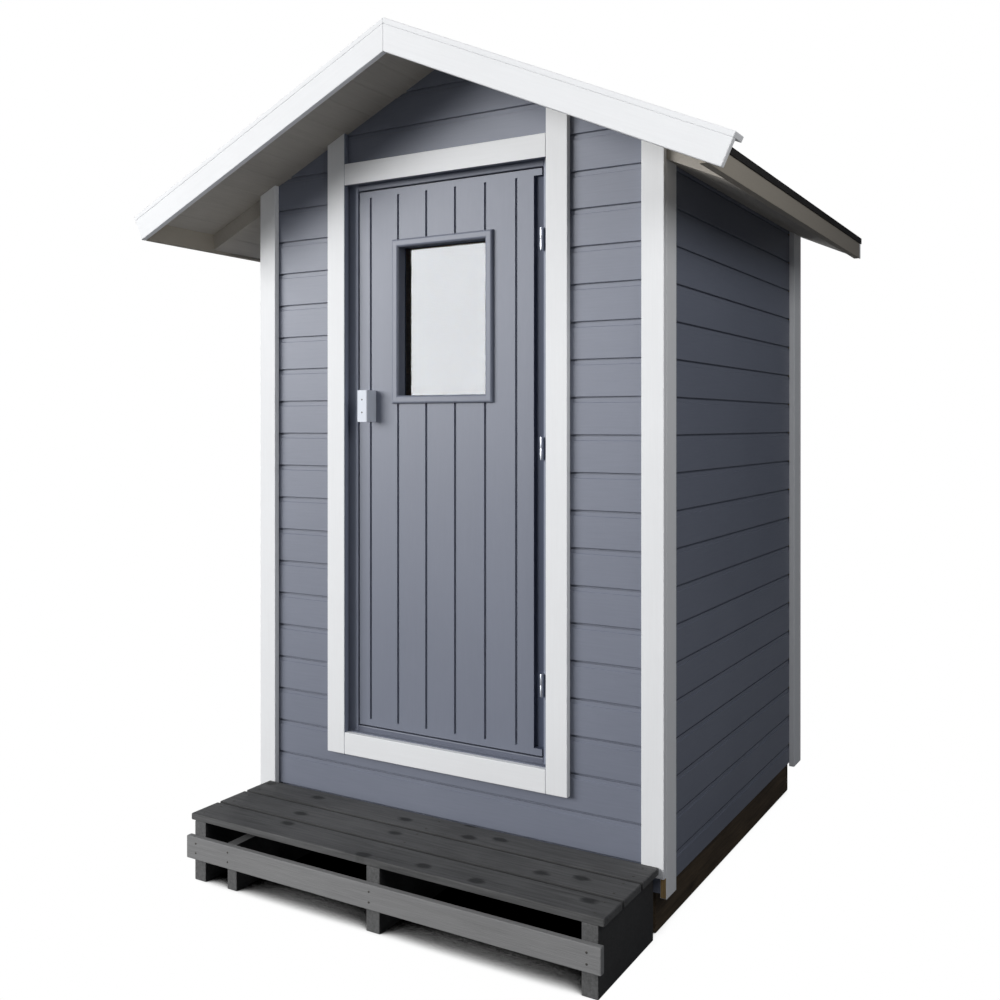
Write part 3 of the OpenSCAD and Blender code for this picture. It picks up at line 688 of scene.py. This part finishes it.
def windowTrimParts():
    low, high = spanOf("door_window_trim")
    leafLow, leafHigh = spanOf("door_leaf")
    glassBack = spanOf("door_window_glass")[1][onY]
    m = leaf["moulding"]
    opening = (low[onX] + m, high[onX] - m, low[onZ] + m, high[onZ] - m)
    face, front = leafLow[onY], low[onY]
    moulding = [[0, face], [0, front + 0.005], [0.003, front + 0.0015], [0.006, front], [m - 0.006, front],
                [m - 0.002, front + 0.0015], [m, front + 0.005], [m, face]]
    reach = leaf["rebate"] - 0.001
    bead = [[0, glassBack], [reach, glassBack], [reach, leafHigh[onY]], [0.003, leafHigh[onY]],
            [0, leafHigh[onY] - 0.003]]
    return [framedLoop(*opening, moulding), framedLoop(*opening, bead)]


addPiece("windowMoulding", windowTrimParts(), ["door"], "door", ["door_window_trim"])
nodes["door_window_glass"].data.materials.clear()
nodes["door_window_glass"].data.materials.append(materials["glass"])

pull = {"thick": 0.003, "bend": 0.005, "ease": 0.0004, "screw": 0.0028, "screwRises": (0.3, 0.7)}
hingeEase = 0.0004


def pullParts():
    # a plate bent twice: foot, web and front flange in plan, carried up, its outer bends rounded
    low, high = spanOf("door_pull")
    face = spanOf("door_leaf")[0][onY]
    t, b = pull["thick"], pull["bend"]
    left, right, front, foot = low[onX], high[onX], low[onY], face
    quarter = np.linspace(0, np.pi / 2, 5)
    outerFront = np.stack([right - b + b * np.sin(quarter), front + b - b * np.cos(quarter)], -1)
    innerFront = np.stack([right - b + (b - t) * np.cos(quarter), front + b - (b - t) * np.sin(quarter)], -1)
    outline = np.concatenate([[[left, front]], outerFront,
                              [[right, foot], [left, foot], [left, foot - t], [right - t, foot - t]],
                              innerFront, [[left, front + t]]])
    plate = easedPrism(outline, onZ, low[onZ], high[onZ], pull["ease"])
    middle = (left + right - t) / 2
    head = [[pull["screw"], 0.0006], [pull["screw"], -0.0002], [0.6 * pull["screw"], -0.0006],
            [0.3 * pull["screw"], -0.0006], [0.15 * pull["screw"], 0.0004]]
    parts = [plate]
    for rise in pull["screwRises"]:
        height = low[onZ] + rise * (high[onZ] - low[onZ])
        points, faces, _ = turnedSurface(head, (middle, front, height), onY, 20)
        parts.append((points, faces, [1] * len(faces)))
    return parts


addPiece("doorPull", pullParts(), ["pull", "nail"], "door", ["door_pull"])

easedCopy("hingeLowerHalves", "hinge_pins", hingeEase, "zinc")
easedCopy("hingeUpperHalves", "hinge_knuckles", hingeEase, "zinc", "door")
print("door done")


# roof

boards = {"pitch": 0.095, "joint": 0.0024, "depth": 0.0012}
roofEase = {"felt": 0.0012, "ridge": 0.0008, "eave": 0.002, "barge": 0.0022, "cap": 0.002}


def grooved(start, end):
    # a row of boards from start to end: at every joint a small V, two points on the face and one above it
    along = np.arange(start + boards["pitch"], end - 0.02, boards["pitch"])
    vee = np.array([[-boards["joint"] / 2, 0], [0, boards["depth"]], [boards["joint"] / 2, 0]])
    row = (np.stack([along, np.zeros_like(along)], -1)[:, None] + vee[None]).reshape(-1, 2)
    return np.concatenate([[[start, 0]], row, [[end, 0]]])


def deckPart(node, side):
    # the underside follows the slope with a V at each board's joint, the top is plain
    low, high = spanOf(node)
    edge = max(abs(low[onX]), abs(high[onX]))
    start = min(abs(low[onX]), abs(high[onX]))
    points = pointsOf(node)
    inner = points[np.abs(np.abs(points[:, onX]) - start) < near["place"]]
    under, over = inner[:, onZ].min(), inner[:, onZ].max()
    face = grooved(start, edge)
    face[:, 1] += under - roof["fall"] * (face[:, 0] - start)
    ring = np.concatenate([face, [[edge, over - roof["fall"] * (edge - start)], [start, over]]])
    ring[:, 0] *= side
    return carried([ring, ring], onY, [low[onY], high[onY]])


for side, word in ((-1, "left"), (1, "right")):
    slope = "whiteLeft" if side < 0 else "whiteRight"
    for piece, node in (("roofBoards_", "roof_boards_"), ("eaveLining_", "eave_box_")):
        addPiece(piece + word, [deckPart(node + word, side)], ["soffit"], "cabin",
                 [node + word])
    boardsFrom("felt_" + word, "roofing_" + word, roofEase["felt"], "felt")
    # the eave boards take the white paint drawn grey-beige, as painted shade
    boardsFrom("eaveBoard_" + word, "eave_board_" + word, roofEase["eave"], "whiteEaveShade")
    for end in ("front", "rear"):
        barge = "barge_" + end + "_" + word
        boardsFrom(barge, barge, roofEase["barge"], slope)
    boardsFrom("vergeCap_" + word, "verge_cap_front_" + word, roofEase["cap"], slope)
boardsFrom("ridgeFelt", "ridge_strip", roofEase["ridge"], "felt")
print("roof done")


# base and floor

baseEase = {"timber": 0.004, "joist": 0.002}
for word, finish in (("left", "treatedDeep"), ("right", "treatedDeep"),
                     ("front", "treatedLong"), ("rear", "treatedLong")):
    addPiece("baseTimber_" + word, [easedBox(*spanOf("base_" + word), baseEase["timber"])], [finish], "cabin",
             ["base_" + word])
boardsFrom("floorJoists", "floor_joists", baseEase["joist"], "treatedLong")


def floorPart():
    # boards side by side, a small V at each joint on the upper face, carried front to back
    low, high = spanOf("floor")
    top = grooved(low[onX], high[onX])
    top[:, 1] = high[onZ] - top[:, 1]
    ring = np.concatenate([[[low[onX], low[onZ]], [high[onX], low[onZ]]], top[::-1]])
    return carried([ring, ring], onY, [low[onY], high[onY]])


addPiece("floorBoards", [floorPart()], ["rawDeep"], "cabin", ["floor"])
print("base and floor done")


# step

step = {"ease": 0.0035, "joistEase": 0.002, "skirtEase": 0.003, "skirtBack": 0.001,
        "frontEdge": 0.01, "nail": 0.0035, "proud": 0.0008, "drift": 0.004, "skirtRises": (0.3, 0.72)}


def nailHeads(spots, facing):
    # a low dome on each spot: two rings of eight points, the outer on the surface and the inner proud of it
    spots = np.asarray(spots, float)
    axis, outward = facing
    flat = [a for a in (onX, onY, onZ) if a != axis]
    angle = np.linspace(0, 2 * np.pi, 8, endpoint=False)
    radius = np.array([1.0, 1.0, 0.7])[:, None] * step["nail"]
    lift = np.array([-0.001, 0.0003, step["proud"]]) * outward
    dome = np.zeros((3, 8, 3))
    dome[..., flat[0]], dome[..., flat[1]] = radius * np.cos(angle), radius * np.sin(angle)
    dome[..., axis] = lift[:, None]
    faces = stripFaces(3, 8) + [list(range(8))[::-1], list(range(16, 24))]
    return [(dome.reshape(-1, 3) + spot, faces, [0] * len(faces)) for spot in spots]


def shadeSides(piece, axis, beyond):
    # the sawn faces square to an axis and past a place along it are drawn darker: painted shade in the gaps
    # between the step's boards and on its joists' sides
    mesh = piece.data
    count = len(mesh.polygons)
    square, middle = np.zeros(count * 3), np.zeros(count * 3)
    mesh.polygons.foreach_get("normal", square)
    mesh.polygons.foreach_get("center", middle)
    paintedShade = (np.abs(square[axis::3]) > squareOn) & (middle[axis::3] > beyond)
    mesh.polygons.foreach_set("material_index", paintedShade.astype(np.int32))


stepFront = spanOf("step_boards")[0]
treadBoards = [easedBox([r[:, 0].min(), a, r[:, 1].min()], [r[:, 0].max(), b, r[:, 1].max()], step["ease"])
               for r, a, b in outlinesOf("step_boards", onY)]
tread = addPiece("stepBoards", treadBoards, ["step", "stepSidesShade"], "cabin", ["step_boards"])
shadeSides(tread, onY, stepFront[onY] + step["frontEdge"])
joists = addPiece("stepJoists", easedOutlines("step_joists", step["joistEase"]), ["stepDeep", "stepSidesShade"],
                  "cabin", ["step_joists"])
shadeSides(joists, onX, stepFront[onX])
bearer = addPiece("stepBearer", [easedBox(*spanOf("step_prop"), step["joistEase"])],
                  ["stepDeep", "stepSidesShade"], "cabin", ["step_prop"])
shadeSides(bearer, onX, stepFront[onX])
skirtLow, skirtHigh = spanOf("step_skirt")
skirtLow[onY] += step["skirtBack"]      # leaves room for its nail heads
addPiece("stepSkirt", [easedBox(skirtLow, skirtHigh, step["skirtEase"])], ["skirt"], "cabin",
         ["step_skirt"])


def stepNails():
    boardsY = [(a + b) / 2 for _, a, b in outlinesOf("step_boards", onY)]
    widths = [b - a for _, a, b in outlinesOf("step_boards", onY)]
    joistsX = [r[:, 0].mean() for r, _, _ in outlinesOf("step_joists", onY)]
    top = spanOf("step_boards")[1][onZ]
    shape = (len(joistsX), len(boardsY), 2, 2)
    drift = np.random.default_rng(7).uniform(-step["drift"], step["drift"], shape)
    spots = [[x + drift[i, j, k, 0], y + (k - 0.5) * 0.6 * widths[j] + drift[i, j, k, 1], top]
             for i, x in enumerate(joistsX) for j, y in enumerate(boardsY) for k in (0, 1)]
    low, high = spanOf("step_skirt")
    bearer = spanOf("step_prop")
    faceSpots = [[x, low[onY] + step["skirtBack"], low[onZ] + rise * (high[onZ] - low[onZ])]
                 for x in joistsX + [(bearer[0][onX] + bearer[1][onX]) / 2] for rise in step["skirtRises"]]
    return nailHeads(spots, (onZ, 1)) + nailHeads(faceSpots, (onY, -1))


addPiece("stepNails", stepNails(), ["nail"], "cabin")
print("step done")


# stage, light and camera

studio = {"around": 0.10, "background": 1.0, "paper": 1.0, "floorReach": 30.0,
          "contact": {"reach": 0.6, "from": 0.16, "to": 0.46}}


def plainFloor():
    # pale studio floor: the camera sees it glow as bright as the paper behind, with painted shade at the foot
    # where ambient occlusion dims the glow, and everything else sees a darker matt one, so that it throws
    # little light up
    material = bpy.data.materials.new("paleFloor")
    material.use_nodes = True
    tree = material.node_tree
    tree.nodes.clear()
    seen = addNode(tree, "ShaderNodeLightPath").outputs["Is Camera Ray"]
    dull = addNode(tree, "ShaderNodeBsdfDiffuse", {"Color": linearColour("#949494")}).outputs[0]
    contact = studio["contact"]
    # ambient occlusion dims the floor's glow: painted contact shade, dark under the step
    openness = addNode(tree, "ShaderNodeAmbientOcclusion",
                       {"samples": 32, "Distance": contact["reach"]}).outputs["AO"]
    glow = addNode(tree, "ShaderNodeMapRange",
                   {"interpolation_type": "SMOOTHSTEP", "From Min": contact["from"],
                    "From Max": contact["to"], "To Max": studio["paper"]}, {"Value": openness}).outputs[0]
    lit = addNode(tree, "ShaderNodeEmission", links={"Strength": glow}).outputs[0]
    mixed = addNode(tree, "ShaderNodeMixShader", links={0: seen, 1: dull, 2: lit}).outputs[0]
    addNode(tree, "ShaderNodeOutputMaterial", links={"Surface": mixed})
    mesh = bpy.data.meshes.new("studioFloor")
    reach = studio["floorReach"]
    corners = [[-reach, -reach, 0], [reach, -reach, 0], [reach, reach, 0], [-reach, reach, 0]]
    mesh.from_pydata(corners, [], [[0, 1, 2, 3]])
    mesh.materials.append(material)
    floor = bpy.data.objects.new("studioFloor", mesh)
    bpy.context.scene.collection.objects.link(floor)


softboxes = {
    # from the left and low, the main light
    "keySoftbox": {"place": (-8.2, -9.5, 4.2), "aim": (0.0, -0.5, 1.8), "size": (9.0, 5.2), "power": 1660.0},
    # weak, from the right, high enough for the eave to shade the top of the side wall
    "fillSoftbox": {"place": (2.9, -1.7, 2.9), "aim": (0.8, -0.2, 1.1), "size": (1.4, 1.6), "power": 31.0},
    "rearSoftbox": {"place": (-2.6, 5.2, 2.8), "aim": (-0.2, 0.6, 1.3), "size": (3.0, 2.4), "power": 150.0},
    "topSoftbox": {"place": (-1.0, -5.0, 5.5), "aim": (0.0, -0.3, 1.0), "size": (3.0, 2.0), "power": 30.0},
}


def softbox(name, setting):
    # a rectangular white lamp at its place, facing its aim
    lamp = bpy.data.lights.new(name, "AREA")
    lamp.shape, (lamp.size, lamp.size_y) = "RECTANGLE", setting["size"]
    lamp.energy, lamp.color = setting["power"], (1, 1, 1)
    box = bpy.data.objects.new(name, lamp)
    box.location = setting["place"]
    facing = Vector(setting["aim"]) - Vector(setting["place"])
    box.rotation_euler = facing.to_track_quat("-Z", "Y").to_euler()
    bpy.context.scene.collection.objects.link(box)


plainFloor()
for name, setting in softboxes.items():
    softbox(name, setting)

world = bpy.data.worlds.new("studio")
bpy.context.scene.world = world
world.use_nodes = True
tree = world.node_tree
tree.nodes.clear()
seen = addNode(tree, "ShaderNodeLightPath").outputs["Is Camera Ray"]
around = addNode(tree, "ShaderNodeBackground",
                 {"Color": linearColour("#dbe5fa"), "Strength": studio["around"]}).outputs[0]
behind = addNode(tree, "ShaderNodeBackground",
                 {"Color": linearColour("#ffffff"), "Strength": studio["background"]}).outputs[0]
mixed = addNode(tree, "ShaderNodeMixShader", links={0: seen, 1: around, 2: behind}).outputs[0]
addNode(tree, "ShaderNodeOutputWorld", links={"Surface": mixed})

view = {"place": (1.888, -3.399, 1.4726), "yaw": 30.40, "pitch": -0.08, "lens": 38.24, "film": 36.0,
        "shift": -0.0744}
lensData = bpy.data.cameras.new("camera")
lensData.lens, lensData.sensor_width, lensData.shift_y = view["lens"], view["film"], view["shift"]
camera = bpy.data.objects.new("camera", lensData)
camera.location = view["place"]
camera.rotation_euler = (math.radians(90 + view["pitch"]), 0, math.radians(view["yaw"]))
bpy.context.scene.collection.objects.link(camera)
bpy.context.scene.camera = camera
bpy.context.scene.view_settings.view_transform = "Standard"

print("scene ready")
